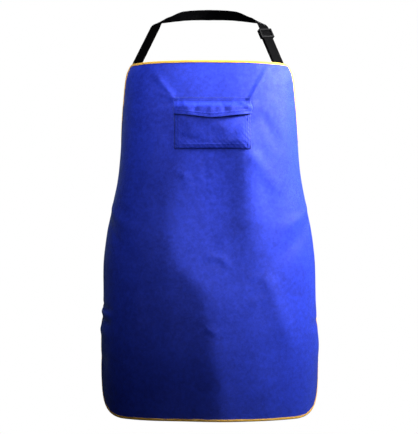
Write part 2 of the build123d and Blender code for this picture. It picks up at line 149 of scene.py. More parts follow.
SHOULDER_BEND = (0.119, -0.028, -0.045)
NECK_PLACES = [SHOULDER_BEND, (0.096, 0.016, -0.021), (0.062, 0.063, -0.006), (0, 0.085, 0)]
NECK_FACINGS = [(0.62, -0.12, 0.78), (0.56, 0.6, 0.57), (0, 0.9, 0.44)]

UP = np.array([0.0, 0.0, 1.0])
FRONT = np.array([0.0, -1.0, 0.0])
BUCKLE = np.array([0.0, BACK_DEPTH, WAIST_STRAP_RISE - NECK_RISE])
MIRROR = np.array([-1.0, 1.0, 1.0])
LAP_FRAMES = 10

# Sewing: threads, rows as distances in from an edge (FLAP_ROWS are rises), tacks and boxes
THREAD = 0.00024
FINE_THREAD = 0.0002
THREAD_SUNK = 0.0001
STITCH_PITCH = 0.0033
STITCH_LENGTH = 0.0026
STATIONS = np.array([-1.0, -0.6, 0.0, 0.6, 1.0])
GIRTHS = np.array([0.35, 0.95, 1.05, 0.95, 0.35])
THREAD_SIDES = 6
ROW_WIDTH = 0.0009
POCKET_ROWS = (0.0018, 0.0072)
FLAP_ROWS = (FLAP_TOP - 0.0016, FLAP_FOLD + 0.0004)
FLAP_EDGE_ROW = 0.0055
TACK_STITCHES = 13
TACK_LENGTH = 0.009
TACK_WIDTH = 0.0024
TACK_INSET = 0.006
FLAP_TACK_INSET = 0.007
ROW_END = 0.004
BOX_WIDTH = 0.019


# --- the cloth's surface ---


def hermite(t, length, low, high, rise_low, rise_high):
    """Smooth curve between two values with given slopes, for t from 0 to 1 over a length."""
    return ((1 + 2 * t) * (1 - t) ** 2 * low + t * (1 - t) ** 2 * length * rise_low
            + t * t * (3 - 2 * t) * high + t * t * (t - 1) * length * rise_high)


def at_rise(table, rise):
    """Values of a (rise, value) table, with a smooth curve between its points."""
    places, values = np.array(table, float).T
    ends = np.diff(values) / np.diff(places)
    inner = (values[2:] - values[:-2]) / (places[2:] - places[:-2])
    slopes = np.concatenate([ends[:1], inner, ends[-1:]])
    span = np.clip(np.searchsorted(places, rise, side="right") - 1, 0, len(places) - 2)
    length = places[span + 1] - places[span]
    t = (rise - places[span]) / length
    return hermite(t, length, values[span], values[span + 1], slopes[span], slopes[span + 1])


def half_cloth(rise):
    """Half the width of the flat cloth: a straight skirt, then a bib that narrows to its top."""
    above = np.asarray(rise, float) - WAIST_RISE
    eased = np.clip(above + ARMHOLE_EASE, 0, None) ** 2 / (4 * ARMHOLE_EASE)
    above = np.where(above < ARMHOLE_EASE, eased, above)
    return SKIRT_WIDTH / 2 + above / (APRON_HEIGHT - WAIST_RISE) * (BIB_WIDTH - SKIRT_WIDTH) / 2


def run(turn, span, share, steps=24):
    """How far the cloth goes sideways and back, over a share of a span that turns by turn."""
    side = back = 0.0
    for step in range(steps):
        heading = turn * (share * (step + 0.5) / steps) ** BEND
        side = side + np.cos(heading)
        back = back + np.sin(heading)
    return side * span * share / steps, back * span * share / steps


def find_edge_turns(rises):
    """Angle that the cloth has turned through at its edge, from the width it must take up."""
    span, wanted = half_cloth(rises), at_rise(HALF_WIDTHS, rises)
    low, high = np.full_like(rises, 0.3), np.full_like(rises, 2.6)
    for _ in range(30):
        turn = (low + high) / 2
        share = np.minimum(1.0, (pi / 2 / turn) ** (1 / BEND))
        wide = run(turn, span, share)[0] > wanted
        low = np.where(wide, turn, low)
        high = np.where(wide, high, turn)
    return turn


TURN_RISES = np.linspace(-0.01, APRON_HEIGHT + 0.01, 391)
EDGE_TURNS = find_edge_turns(TURN_RISES)


def on_body(reach, rise):
    """Points of the cloth's middle surface."""
    reach, rise = np.broadcast_arrays(np.asarray(reach, float), np.asarray(rise, float))
    span = half_cloth(rise)
    side, back = run(np.interp(rise, TURN_RISES, EDGE_TURNS), span, np.abs(reach) / span)
    x = np.where(reach >= 0, side, -side)
    return np.stack([x, back - at_rise(FRONT_DEPTHS, rise), rise - NECK_RISE], axis=-1)


def unit(vectors):
    return vectors / np.linalg.norm(vectors, axis=-1, keepdims=True)


def outward(reach, rise, step=0.002):
    """Unit normals of the cloth, pointing away from the wearer."""
    low = np.clip(rise, step, APRON_HEIGHT - step)
    across = on_body(reach + step, low) - on_body(reach - step, low)
    up = on_body(reach, low + step) - on_body(reach, low - step)
    return unit(np.cross(across, up))


def layer(reach, rise, height):
    """Points at a height off the cloth's smooth middle surface."""
    reach, rise, height = np.broadcast_arrays(reach, rise, height)
    return on_body(reach, rise) + outward(reach, rise) * height[..., None]


def corner_drop(distance, radius):
    """How far a round corner falls short of the edge, at a distance into the corner."""
    inside = np.clip(distance, 0.0, radius)
    return radius - np.sqrt(radius * radius - inside * inside)


def cloth_place(u, v, inset=0.0):
    """Reach and rise for u from -1 to 1 across and v from 0 to 1 up the apron, inside an inset."""
    skirt, bib = SKIRT_WIDTH / 2 - inset, BIB_WIDTH / 2 - inset
    hem_corner, top_corner = HEM_CORNER - inset, TOP_CORNER - inset
    low = inset + corner_drop(np.abs(u) * skirt - skirt + hem_corner, hem_corner)
    high = APRON_HEIGHT - inset - TOP_BOW * u * u
    high = high - corner_drop(np.abs(u) * bib - bib + top_corner, top_corner)
    rise = low + v * (high - low)
    return u * (half_cloth(rise) - inset), rise


# --- folds and creases ---

# Creases in millimetres: reach and rise of the start, the same of the end, width, height
CREASES = [
    (87, 680, 128, 750, 6, 2.8),
    (99, 672, 150, 716, 11, -1.8),
    (-76, 682, -124, 740, 7.5, 2.4),
    (-78, 680, -116, 695, 4.5, 1.8),
    (-82, 670, -130, 668, 6, -1.2),
    (-12, 570, -6, 485, 5.5, -0.4),
    (-56, 520, -38, 498, 7, 1),
    (-48, 506, -18, 500, 5, -0.6),
    (-4, 347, 22, 341, 8, 0.6),
    (22, 345, 44, 323, 8, 0.8),
    (10, 335, 30, 319, 7, -0.4),
    (-6, 196, 20, 182, 7, 0.8),
    (115, 260, 80, 240, 10, 0.9),
    (74, 610, 102, 300, 34, 6.6),
    (90, 560, 165, 470, 20, 2.8),
    (115, 640, 165, 560, 16, -1.8),
    (-100, 600, -150, 500, 18, 2.2),
    (262, 452, 150, 400, 12, 2.2),
    (262, 430, 130, 330, 16, -2),
    (-262, 452, -150, 395, 12, 2.2),
    (-262, 430, -140, 320, 16, -2),
    (-300, 240, -215, 226, 6, -2.8),
    (-300, 225, -215, 212, 6, 2.4),
    (-300, 209, -225, 198, 6, -3),
    (-300, 184, -230, 176, 14, 2.8),
    (-300, 122, -235, 118, 16, -2.6),
    (300, 203, 225, 188, 10, -3),
    (300, 150, 235, 144, 30, 2.4),
    (120, 300, 190, 120, 22, 2.6),
    (-150, 250, -185, 60, 24, 2.6),
]
# The long soft ridge where the skirt breaks over the thigh
RIDGE_REACH = [(0.0, 0.034), (0.066, 0.026), (0.2, 0.0), (0.267, -0.014), (0.341, -0.070), (0.51, -0.094),
               (0.76, -0.11)]
RIDGE_HEIGHT = [(0.0, 0.0130), (0.2, 0.0125), (0.341, 0.0085), (0.45, 0.0042), (0.55, 0.0014), (0.62, 0.0),
                (0.76, 0.0)]
RIDGE_TOP = 0.76
RIDGE_LEFT = 0.110
RIDGE_RIGHT = 0.120
RIDGE_ROUND = 0.16
HEM_WAVE_FADE = 0.16
# Where straps are sewn on and the cloth lies flat, as (reach, rise, width, height)
FLAT_SPOTS = [(0.285, WAIST_STRAP_RISE, 0.035, 0.028), (STRAP_REACH, APRON_HEIGHT, 0.022, 0.05)]


def smooth(t):
    """0 to 1 with soft ends."""
    t = np.clip(t, 0, 1)
    return t * t * (3 - 2 * t)


def near_edge(distance, width):
    """1 at an edge, fading to 0 over a width."""
    return np.exp(-np.clip(distance, 0, None) / width)


def hump(off, width):
    """1 in the middle, fading to 0 a width or two away."""
    return np.exp(-(off / width) ** 2)


def crease(reach, rise, start_reach, start_rise, end_reach, end_rise, width, height):
    """A soft fold along a line, fading out at both ends."""
    start = np.array([start_reach, start_rise])
    along = np.array([end_reach, end_rise]) - start
    length = np.linalg.norm(along)
    along = along / length
    east, north = reach - start[0], rise - start[1]
    t = (east * along[0] + north * along[1]) / length
    off = hump(north * along[0] - east * along[1], width * (0.7 + 0.6 * np.clip(t, 0, 1)))
    return height * off * smooth(t / 0.25 + 0.6) * smooth((1.15 - t) / 0.6)


def creases(reach, rise, lines):
    """Sum of the creases in a table in millimetres."""
    return sum(crease(reach, rise, *line) for line in np.array(lines) / 1000)


def ripples(reach, rise, wavelength, seed, waves=9):
    """Smooth uneven waves, about one unit high."""
    random = np.random.default_rng(seed)
    total = 0.0
    for _ in range(waves):
        heading, phase, stretch = random.uniform((0, 0, 0.7), (pi, 2 * pi, 1.5))
        bend = 0.6 * np.sin(reach * 9 / wavelength * 0.2 + rise * 7 / wavelength * 0.2 + phase)
        crossing = reach * cos(heading) + rise * sin(heading)
        total = total + np.sin(2 * pi * crossing / (wavelength * stretch) + phase + bend)
    return total / sqrt(waves)


def folds(reach, rise):
    """How far the cloth's folds stand off its smooth surface."""
    height = 0.0004 * ripples(reach, rise, 0.12, 3) + 0.00005 * ripples(reach, rise, 0.034, 8)
    low = np.clip(rise, 0, RIDGE_TOP)
    off = reach - at_rise(RIDGE_REACH, low)
    off = off / np.where(off < 0, RIDGE_LEFT, RIDGE_RIGHT)
    ridge = at_rise(RIDGE_HEIGHT, low) * np.exp(RIDGE_ROUND - np.hypot(off, RIDGE_ROUND))
    waves = 0.0010 * np.sin(reach * 31 + 0.7) + 0.0005 * np.sin(reach * 57 + 2.1)
    height = height + creases(reach, rise, CREASES) + ridge + near_edge(rise, HEM_WAVE_FADE) * waves
    for middle, level, wide, tall in FLAT_SPOTS:
        height = height * (1 - hump(np.abs(reach) - middle, wide) * hump(rise - level, tall))
    return height


def place(reach, rise, height):
    """Points at a height off the apron's folded cloth."""
    reach, rise, height = np.broadcast_arrays(reach, rise, height)
    return layer(reach, rise, folds(reach, rise) + height)


# --- meshes ---


def add_piece(name, points, faces, uvs, material):
    """Mesh object with smooth faces, one UV pair, in metres, for each point, and its material's slot."""
    mesh = bpy.data.meshes.new(name)
    mesh.from_pydata(np.asarray(points).reshape(-1, 3).tolist(), [], faces)
    mesh.polygons.foreach_set("use_smooth", np.ones(len(mesh.polygons), bool))
    corners = np.empty(len(mesh.loops), int)
    mesh.loops.foreach_get("vertex_index", corners)
    flat = mesh.uv_layers.new(name="Flat")
    flat.data.foreach_set("uv", np.asarray(uvs, float).reshape(-1, 2)[corners].ravel())
    mesh.materials.append(material)
    piece = bpy.data.objects.new(name, mesh)
    bpy.context.scene.collection.objects.link(piece)
    return piece


def grid_faces(rows, columns, first=0, flip=False):
    """Quads between the points of a grid."""
    faces = []
    for row in range(rows - 1):
        for column in range(columns - 1):
            a = first + row * columns + column
            quad = (a, a + 1, a + columns + 1, a + columns)
            faces.append(quad[::-1] if flip else quad)
    return faces


def grid_border(rows, columns):
    """Rows and columns of a grid's border points, anticlockwise, once each."""
    bottom = [(0, column) for column in range(columns - 1)]
    right = [(row, columns - 1) for row in range(rows - 1)]
    top = [(rows - 1, column) for column in range(columns - 1, 0, -1)]
    left = [(row, 0) for row in range(rows - 1, 0, -1)]
    return np.array(bottom + right + top + left).T


def sheet_faces(rows, columns):
    """Faces of a closed sheet whose points are its front's, then its back's, then its rim's."""
    count = rows * columns
    faces = grid_faces(rows, columns) + grid_faces(rows, columns, count, flip=True)
    row, column = grid_border(rows, columns)
    at_front = (row * columns + column).tolist()
    for index, corner in enumerate(at_front):
        following = (index + 1) % len(at_front)
        next_corner = at_front[following]
        a, b = 2 * count + index, 2 * count + following
        faces.append((corner, a, b, next_corner))
        faces.append((a, corner + count, next_corner + count, b))
    return faces


def closed_sheet(name, surface, counts, thickness, material, wear_and_shade=None):
    """Closed sheet with a round rim. surface(u, v, height) gives its points, reaches and rises, for u
    from -1 to 1 across and v from 0 to 1 up, and counts are the numbers of points each way."""
    columns, rows = counts
    u, v = np.meshgrid(np.linspace(-1, 1, columns), np.linspace(0, 1, rows))
    front, reach, rise = surface(u, v, thickness / 2)
    back = surface(u, v, -thickness / 2)[0]
    middle = surface(u, v, 0.0)[0]
    row, column = grid_border(rows, columns)
    inner = middle[np.clip(row, 1, rows - 2), np.clip(column, 1, columns - 2)]
    rim = middle[row, column] + unit(middle[row, column] - inner) * thickness * 0.45

    def each_point(values):
        """Values for the front's points, the back's and the rim's, from those of the grid."""
        size = values.shape[2:]
        return np.concatenate([values.reshape(-1, *size), values.reshape(-1, *size), values[row, column]])

    points = np.concatenate([front.reshape(-1, 3), back.reshape(-1, 3), rim])
    uvs = each_point(np.stack([reach, rise], axis=-1))
    piece = add_piece(name, points, sheet_faces(rows, columns), uvs, material)
    # Per-point value for the cotton's colour: real wear above 0, painted shade below 0
    if wear_and_shade is not None:
        attribute = piece.data.attributes.new("wear_and_shade", "FLOAT", "POINT")
        worn = np.clip(each_point(wear_and_shade(reach, rise)), -1, 1)
        attribute.data.foreach_set("value", worn.astype(np.float32))
    return piece


def tube_faces(rings, sides, first=0, closed=False):
    """Quads between rings of points, with caps unless the tube closes on itself."""
    faces = []
    for ring in range(rings if closed else rings - 1):
        low, high = first + ring * sides, first + (ring + 1) % rings * sides
        for side in range(sides):
            following = (side + 1) % sides
            faces.append((low + side, low + following, high + following, high + side))
    if not closed:
        faces.append(tuple(range(first + sides - 1, first - 1, -1)))
        faces.append(tuple(first + (rings - 1) * sides + side for side in range(sides)))
    return faces


def lengths_along(points):
    """Length of a line up to each of its points."""
    return np.concatenate([[0], np.cumsum(np.linalg.norm(np.diff(points, axis=0), axis=1))])


def even_path(path, pitch, closed=False):
    """Points at an even pitch along a line of (reach, rise) points."""
    path = np.asarray(path, float)
    if closed:
        path = np.vstack([path, path[:1]])
    path = path[np.concatenate([[True], np.diff(lengths_along(path)) > 1e-7])]
    lengths = lengths_along(path)
    count = max(2, round(lengths[-1] / pitch))
    wanted = np.linspace(0, lengths[-1], count + 1)
    if closed:
        wanted = wanted[:-1]
    return np.stack([np.interp(wanted, lengths, path[:, axis]) for axis in (0, 1)], axis=-1)


# --- stitches ---


def row_frames(path, lift, closed=False, inside=False):
    """Middles, directions and normals of a row of stitches along a (reach, rise) line, where
    lift(reach, rise) is its height off the cloth."""
    ends = even_path(path, STITCH_PITCH, closed)
    reach, rise = ((ends[:-1] + ends[1:]) / 2).T
    there = place(reach, rise, lift(reach, rise))
    reach_ahead, rise_ahead = ends[1:].T
    ahead = place(reach_ahead, rise_ahead, lift(reach_ahead, rise_ahead))
    return there, unit(ahead - there), outward(reach, rise) * (-1 if inside else 1)


def seam(name, rows, body, material, length=STITCH_LENGTH, radius=THREAD):
    """One piece from rows of stitches: short round threads that arch over the cloth and dive in at
    both ends."""
    middles, alongs, offs = (np.concatenate(parts)[:, None, None] for parts in zip(*rows))
    swing = 2 * pi * np.arange(THREAD_SIDES)[:, None] / THREAD_SIDES
    crosses = unit(np.cross(alongs, offs))
    round_off = crosses * np.cos(swing) + offs * np.sin(swing)
    station, girth = STATIONS[:, None, None], GIRTHS[:, None, None]
    centres = middles + alongs * station * length / 2 + offs * radius * (0.75 - 1.2 * station ** 2)
    points = centres + round_off * radius * girth
    around, along = np.meshgrid(swing * radius, STATIONS * length / 2)
    count = len(STATIONS) * THREAD_SIDES
    faces = []
    for index in range(len(points)):
        faces += tube_faces(len(STATIONS), THREAD_SIDES, index * count)
    uvs = np.tile(np.stack([around, along], axis=-1).reshape(count, 2), (len(points), 1))
    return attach(add_piece(name, points, faces, uvs, material), body)


# --- materials ---


class Finish:
    """A Principled material, with short calls that add nodes and join them."""

    def __init__(self, name, **settings):
        self.material = bpy.data.materials.new(name)
        self.material.use_nodes = True
        self.links = self.material.node_tree.links
        self.nodes = self.material.node_tree.nodes
        self.shader = self.nodes["Principled BSDF"]
        for key, value in settings.items():
            self.shader.inputs[key.replace("_", " ")].default_value = value
        flat = self.add("ShaderNodeUVMap", uv_map="Flat").outputs[0]
        self.across, self.up, _ = self.add("ShaderNodeSeparateXYZ", {0: flat}).outputs
        self.solid = self.add("ShaderNodeTexCoord").outputs["Object"]

    def add(self, kind, values=(), **settings):
        node = self.nodes.new(kind)
        for key, value in settings.items():
            setattr(node, key, value)
        for key, value in dict(values).items():
            if isinstance(value, bpy.types.NodeSocket):
                self.links.new(value, node.inputs[key])
            else:
                node.inputs[key].default_value = value
        return node

    def math(self, operation, a, b=0.0):
        return self.add("ShaderNodeMath", {0: a, 1: b}, operation=operation).outputs[0]

    def weigh(self, *parts):
        """Sum of (value, weight) pairs."""
        total = 0.0
        for value, weight in parts:
            total = self.math("ADD", total, self.math("MULTIPLY", value, weight))
        return total

    def noise(self, scale, detail=3.0, roughness=0.55):
        values = {"Vector": self.solid, "Scale": scale, "Detail": detail, "Roughness": roughness}
        return self.add("ShaderNodeTexNoise", values).outputs["Fac"]

    def remap(self, value, low, high, to_low=0.0, to_high=1.0):
        values = {"Value": value, "From Min": low, "From Max": high, "To Min": to_low, "To Max": to_high}
        return self.add("ShaderNodeMapRange", values).outputs[0]

    def patches(self, scale, detail, roughness, low, high):
        """Noise with more contrast, from 0 at low to 1 at high."""
        return self.remap(self.noise(scale, detail, roughness), low, high)

    def mix(self, factor, first, second):
        return self.add("ShaderNodeMix", {0: factor, 6: first, 7: second}, data_type="RGBA").outputs[2]

    def waves(self, value, pitch):
        return self.math("SINE", self.math("MULTIPLY", value, 2 * pi / pitch))

    def threads(self, turn, pitch):
        """Fine parallel lines on the flat cloth, 0 to 1, at a pitch in metres."""
        crossing = self.weigh((self.across, cos(turn)), (self.up, sin(turn)))
        return self.remap(self.waves(crossing, pitch), -1.0, 1.0)

    def plain_weave(self, pitch):
        return self.math("MULTIPLY", self.threads(0.0, pitch), self.threads(pi / 2, pitch))

    def made(self, colour, rough=None, height=None, distance=0.0, strength=1.0):
        """The material, with its colour, roughness and bump joined to the shader."""
        self.links.new(colour, self.shader.inputs["Base Color"])
        if rough is not None:
            self.links.new(rough, self.shader.inputs["Roughness"])
        if height is not None:
            bump = self.add("ShaderNodeBump", {"Height": height, "Distance": distance, "Strength": strength})
            self.links.new(bump.outputs[0], self.shader.inputs["Normal"])
        return self.material


def cotton():
    """Brushed cotton twill: diagonal weave, soft nap, uneven dye, paler with wear where the wear and shade
    attribute is above 0, darker with painted shade where it is below 0."""
    finish = Finish("blue_cotton", Specular_IOR_Level=0.18, Sheen_Weight=0.35, Sheen_Roughness=0.4,
                    Sheen_Tint=(0.35, 0.50, 1.0, 1.0))
    cloudy = finish.patches(11.0, 4.0, 0.6, 0.32, 0.68)
    patchy = finish.patches(48.0, 4.0, 0.65, 0.3, 0.7)
    mottled = finish.patches(120.0, 4.0, 0.75, 0.38, 0.62)
    nap = finish.noise(900.0, 3.0, 0.7)
    twill = finish.threads(radians(52), TWILL_PITCH)
    yarn = finish.threads(0.0, YARN_PITCH)
    weave = finish.weigh((twill, 0.65), (yarn, 0.35))
    dye = finish.weigh((cloudy, 0.30), (patchy, 0.25), (mottled, 0.45))
    tone = finish.weigh((dye, 0.75), (weave, 0.25))
    dyed = finish.mix(tone, (0.003, 0.010, 0.230, 1), (0.018, 0.046, 0.640, 1))
    wear_and_shade = finish.add("ShaderNodeAttribute", attribute_name="wear_and_shade").outputs["Fac"]
    worn = finish.math("MULTIPLY", wear_and_shade, finish.remap(nap, 0.35, 0.65, 0.35, 1.0))
    rubbed = finish.mix(worn, dyed, (0.045, 0.090, 0.660, 1))
    # Painted shade: mixed towards a near-black blue where the attribute is below 0
    with_painted_shade = finish.mix(finish.math("MULTIPLY", wear_and_shade, -1.0), rubbed, (0.002, 0.006, 0.075, 1))
    height = finish.weigh((weave, 1.0), (nap, 0.9), (patchy, 1.2))
    return finish.made(with_painted_shade, finish.remap(patchy, 0.0, 1.0, 0.66, 0.50), height, 0.00022, 0.8)


def binding_tape():
    """Yellow cotton binding tape with a close plain weave."""
    finish = Finish("yellow_tape", Specular_IOR_Level=0.25, Sheen_Weight=0.2, Sheen_Roughness=0.5)
    weave = finish.plain_weave(0.0006)
    soil = finish.patches(70.0, 4.0, 0.6, 0.3, 0.7)
    tone = finish.weigh((soil, 0.7), (weave, 0.3))
    colour = finish.mix(tone, (0.72, 0.36, 0.030, 1), (0.93, 0.56, 0.085, 1))
    height = finish.math("ADD", weave, finish.noise(1200.0))
    return finish.made(colour, finish.remap(soil, 0.0, 1.0, 0.9, 0.72), height, 0.00014, 0.8)


def webbing_cloth():
    """Ribbed black webbing: raised diagonal ribs that turn at its middle, over lengthwise cords."""
    finish = Finish("black_webbing", Specular_IOR_Level=0.02)
    lean = finish.weigh((finish.math("ABSOLUTE", finish.across), 0.8), (finish.up, 1.0))
    weave = finish.weigh((finish.waves(lean, 0.0019), 1.0), (finish.waves(finish.across, 0.0013), 0.6))
    lint = finish.patches(260.0, 5.0, 0.7, 0.5, 0.75)
    tone = finish.weigh((finish.remap(weave, -1.6, 1.6), 0.6), (lint, 0.4))
    colour = finish.mix(tone, (0.0004, 0.0004, 0.0005, 1), (0.0022, 0.0022, 0.0026, 1))
    return finish.made(colour, finish.remap(weave, -1.6, 1.6, 0.8, 0.55), weave, 0.00016, 0.9)


def thread_finish(name, deep, light):
    """Twisted sewing thread."""
    finish = Finish(name, Roughness=0.7, Specular_IOR_Level=0.08)
    twist = finish.threads(radians(45), 0.0005)
    colour = finish.mix(finish.math("ADD", twist, finish.noise(300.0)), deep, light)
    return finish.made(colour, height=twist, distance=0.00006, strength=0.7)


def closure_finish():
    """Hook and loop tape: a dense pile in a dark blue."""
    finish = Finish("closure_tape", Specular_IOR_Level=0.2, Sheen_Weight=0.35)
    loops = finish.add("ShaderNodeTexVoronoi", {"Vector": finish.solid, "Scale": 1400.0}).outputs["Distance"]
    clumps = finish.noise(320.0, 4.0)
    pile = finish.math("ADD", loops, clumps)
    colour = finish.mix(pile, (0.004, 0.006, 0.035, 1), (0.03, 0.045, 0.2, 1))
    return finish.made(colour, finish.remap(clumps, 0.3, 0.7, 0.95, 0.75), pile, 0.0005)


def label_finish():
    """Blank woven label, slightly yellowed."""
    finish = Finish("label_cloth", Specular_IOR_Level=0.35)
    age = finish.noise(60.0, 4.0)
    colour = finish.mix(age, (0.72, 0.71, 0.66, 1), (0.84, 0.84, 0.82, 1))
    return finish.made(colour, finish.remap(age, 0.3, 0.7, 0.7, 0.5), finish.plain_weave(0.0005), 0.0001, 0.8)


def plastic_finish():
    """Moulded black acetal: fine spark-eroded grain, paler on scuffs."""
    finish = Finish("black_plastic", Specular_IOR_Level=0.10)
    scuffs = finish.patches(140.0, 6.0, 0.75, 0.58, 0.78)
    colour = finish.mix(scuffs, (0.002, 0.002, 0.0023, 1), (0.009, 0.009, 0.010, 1))
    grain = finish.noise(2600.0, 2.0)
    return finish.made(colour, finish.remap(scuffs, 0.0, 1.0, 0.46, 0.66), grain, 0.00008, 0.6)


def wire_finish():
    """Plated steel wire with fine drawing marks and dull patches."""
    finish = Finish("steel_wire", Metallic=1.0)
    dull = finish.patches(190.0, 5.0, 0.7, 0.4, 0.7)
    colour = finish.mix(dull, (0.60, 0.59, 0.57, 1), (0.36, 0.35, 0.34, 1))
    return finish.made(colour, finish.remap(dull, 0.0, 1.0, 0.24, 0.5), finish.noise(1800.0), 0.00005, 0.5)


BLUE = cotton()
YELLOW = binding_tape()
BLACK_WEBBING = webbing_cloth()
BLUE_THREAD = thread_finish("blue_thread", (0.006, 0.016, 0.24, 1), (0.014, 0.036, 0.40, 1))
YELLOW_THREAD = thread_finish("yellow_thread", (0.80, 0.42, 0.05, 1), (0.95, 0.66, 0.16, 1))
BLACK_THREAD = thread_finish("black_thread", (0.008, 0.008, 0.009, 1), (0.035, 0.035, 0.038, 1))
CLOSURE = closure_finish()
LABEL = label_finish()
PLASTIC = plastic_finish()
STEEL = wire_finish()


# --- main cloth and binding ---


def make_main_cloth():
    def surface(u, v, height):
        eased = 0.55 * u + 0.45 * np.sin(pi / 2 * u)
        reach, rise = cloth_place(eased, v, BOUND)
        return place(reach, rise, height), reach, rise

    def wear_and_shade(reach, rise):
        edge = near_edge(half_cloth(rise) - np.abs(reach), 0.016) + near_edge(rise, 0.02)
        return 0.28 * edge + 0.10 * smooth(folds(reach, rise) / 0.006)

    piece = closed_sheet("main_cloth", surface, (175, 225), CLOTH, BLUE, wear_and_shade)
    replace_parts(piece, "main_panel")
    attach(piece, "apron")


def border_path():
    """The cloth's outline as (reach, rise) points, anticlockwise from the hem's left corner."""
    t = np.sin(pi / 2 * np.linspace(-1, 1, 161))
    v = np.linspace(0, 1, 121)
    hem = np.stack(cloth_place(t, 0.0), axis=-1)
    right = np.stack(cloth_place(1.0, v), axis=-1)
    top = np.stack(cloth_place(-t, 1.0), axis=-1)
    left = np.stack(cloth_place(-1.0, 1 - v), axis=-1)
    return np.vstack([hem, right, top, left])


def inside_path(path, depth):
    """A closed line moved into the cloth on its left by a depth for each point."""
    along = unit(np.roll(path, -1, axis=0) - np.roll(path, 1, axis=0))
    return path + np.stack([-along[:, 1], along[:, 0]], axis=-1) * np.reshape(depth, (-1, 1))


def binding_profile():
    """The folded tape's middle line as (depth, height, direction off it), back edge to front edge."""
    front = []
    for depth in np.linspace(BINDING_WIDTH, BOUND + 0.0003, 8):
        puff = 0.00030 * sin(pi * min(depth / BINDING_STITCH, 1.0))
        dip = 0.00015 * hump(depth - BINDING_STITCH, 0.0006)
        front.append((depth, FOLD_RADIUS + puff - dip, 0.0, 1.0))
    fold = [(BOUND - FOLD_RADIUS * cos(swing), FOLD_RADIUS * sin(swing), -cos(swing), sin(swing))
            for swing in np.linspace(-pi / 2, pi / 2, 9)]
    back = [(depth, -height, 0.0, -1.0) for depth, height, _, _ in front]
    return np.array(back + fold + front[::-1])


def pucker(along, height, pitch, drift, drift_rate):
    """Uneven waves beside a row of stitches."""
    return height * np.sin(along * 2 * pi / pitch + drift * np.sin(along * drift_rate))


def make_binding():
    """One tape folded over the whole edge, joined at the hem."""
    path = even_path(border_path(), BINDING_PITCH, closed=True)
    length = np.arange(len(path)) * BINDING_PITCH
    narrow = 1 + 0.05 * np.sin(length * 61 + 0.4) + 0.035 * np.sin(length * 143 + 2.0)
    puckers = pucker(length, 0.00014, 0.0125, 1.5, 19)
    profile = binding_profile()
    edges = np.abs(profile[:, 0] - BINDING_WIDTH / 2) / (BINDING_WIDTH / 2)
    half = BINDING_CLOTH / 2
    outer = profile[:, :2] + profile[:, 2:] * half
    inner = (profile[:, :2] - profile[:, 2:] * half)[::-1]
    lips = profile[[0, -1], :2] + (half * 0.8, 0.0)
    loop = np.vstack([outer, lips[1:], inner, lips[:1]])
    flutter = np.concatenate([edges, [1.0], edges[::-1], [1.0]])
    rings = []
    for (depth, height), share in zip(loop, flutter):
        varied = np.where(depth > BINDING_EVEN, BINDING_EVEN + (depth - BINDING_EVEN) * narrow, depth)
        reach, rise = inside_path(path, varied).T
        rings.append(place(reach, rise, height + puckers * share * np.sign(height)))
    uvs = np.stack(np.meshgrid(lengths_along(loop), length), axis=-1)
    faces = tube_faces(len(path), len(loop), closed=True)
    piece = add_piece("edge_binding", np.stack(rings, axis=1), faces, uvs, YELLOW)
    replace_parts(piece, "binding_hem", "binding_left", "binding_right", "binding_top")
    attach(piece, "apron")


def make_binding_stitches():
    line = inside_path(even_path(border_path(), 0.002, closed=True), BINDING_STITCH)
    for face, side in (("front", 1), ("back", -1)):
        row = row_frames(line, lambda reach, rise: side * (BOUND - THREAD_SUNK), closed=True, inside=side < 0)
        seam(f"binding_stitches_{face}", [row], "apron", YELLOW_THREAD, radius=FINE_THREAD)


# --- pocket, flap and closure ---

# Soft dents and bulges in the pocket and flap, in millimetres like CREASES
POCKET_CREASES = [
    (-67, 650, -30, 610, 10, 1),
    (-62, 600, -15, 588, 9, -1),
    (74, 640, 44, 600, 12, -0.9),
    (-6, 636, 48, 612, 14, 1.2),
    (32, 585, 78, 592, 6, 0.8),
]
FLAP_CREASES = [
    (-56, 676, -40, 645, 6.5, 1.3),
    (-26, 670, -32, 647, 5, -1.1),
    (7, 672, -1, 642, 6, 1.2),
    (25, 672, 35, 645, 5.5, -1.2),
    (49, 676, 43, 647, 5, 1.1),
    (67, 670, 87, 656, 6, 1.8),
]


def pocket_lift(reach, rise):
    """How far the pocket's cloth stands off the panel: sewn at three sides, loose at its mouth."""
    across = np.abs(reach - POCKET_SHIFT) / POCKET_HALF_WIDTH
    up = np.clip((rise - POCKET_BOTTOM) / (POCKET_MOUTH - POCKET_BOTTOM), 0, 1)
    sewn = CLOTH / 2 + SEWN + POCKET_CLOTH / 2
    loose = np.clip(1 - np.minimum(across, 1.0) ** 3, 0, None) * np.sin(pi / 2 * up) ** 0.6
    return sewn + POCKET_ROOM * loose


def pocket_edge_distance(reach, rise):
    """Distance from the pocket's nearest sewn edge."""
    aside = POCKET_HALF_WIDTH - np.abs(reach - POCKET_SHIFT)
    return np.minimum(aside, rise - POCKET_BOTTOM)


def row_marks(distance, rows):
    """1 on each row of stitches, fading to 0 beside it."""
    return sum(hump(distance - row, ROW_WIDTH) for row in rows)


def pocket_relief(reach, rise):
    """The pocket's own shape in its cloth: turned-in edges, stitch dimples, puckers and soft dents."""
    distance = pocket_edge_distance(reach, rise)
    turned = 0.0004 * smooth((0.0125 - distance) / 0.003)
    hemmed = 0.0004 * smooth((rise - POCKET_MOUTH + 0.018) / 0.003)
    puckers = pucker(reach + rise, 0.00022, 0.0105, 1.3, 90) * near_edge(distance, 0.012)
    dents = creases(reach, rise, POCKET_CREASES) * smooth(distance / 0.02)
    return turned + hemmed - 0.00025 * row_marks(distance, POCKET_ROWS) + puckers + dents


def on_pocket(reach, rise, height=POCKET_CLOTH / 2):
    """How far a height in the pocket's cloth stands off the panel, its outer face if none is given."""
    return pocket_lift(reach, rise) + pocket_relief(reach, rise) + height


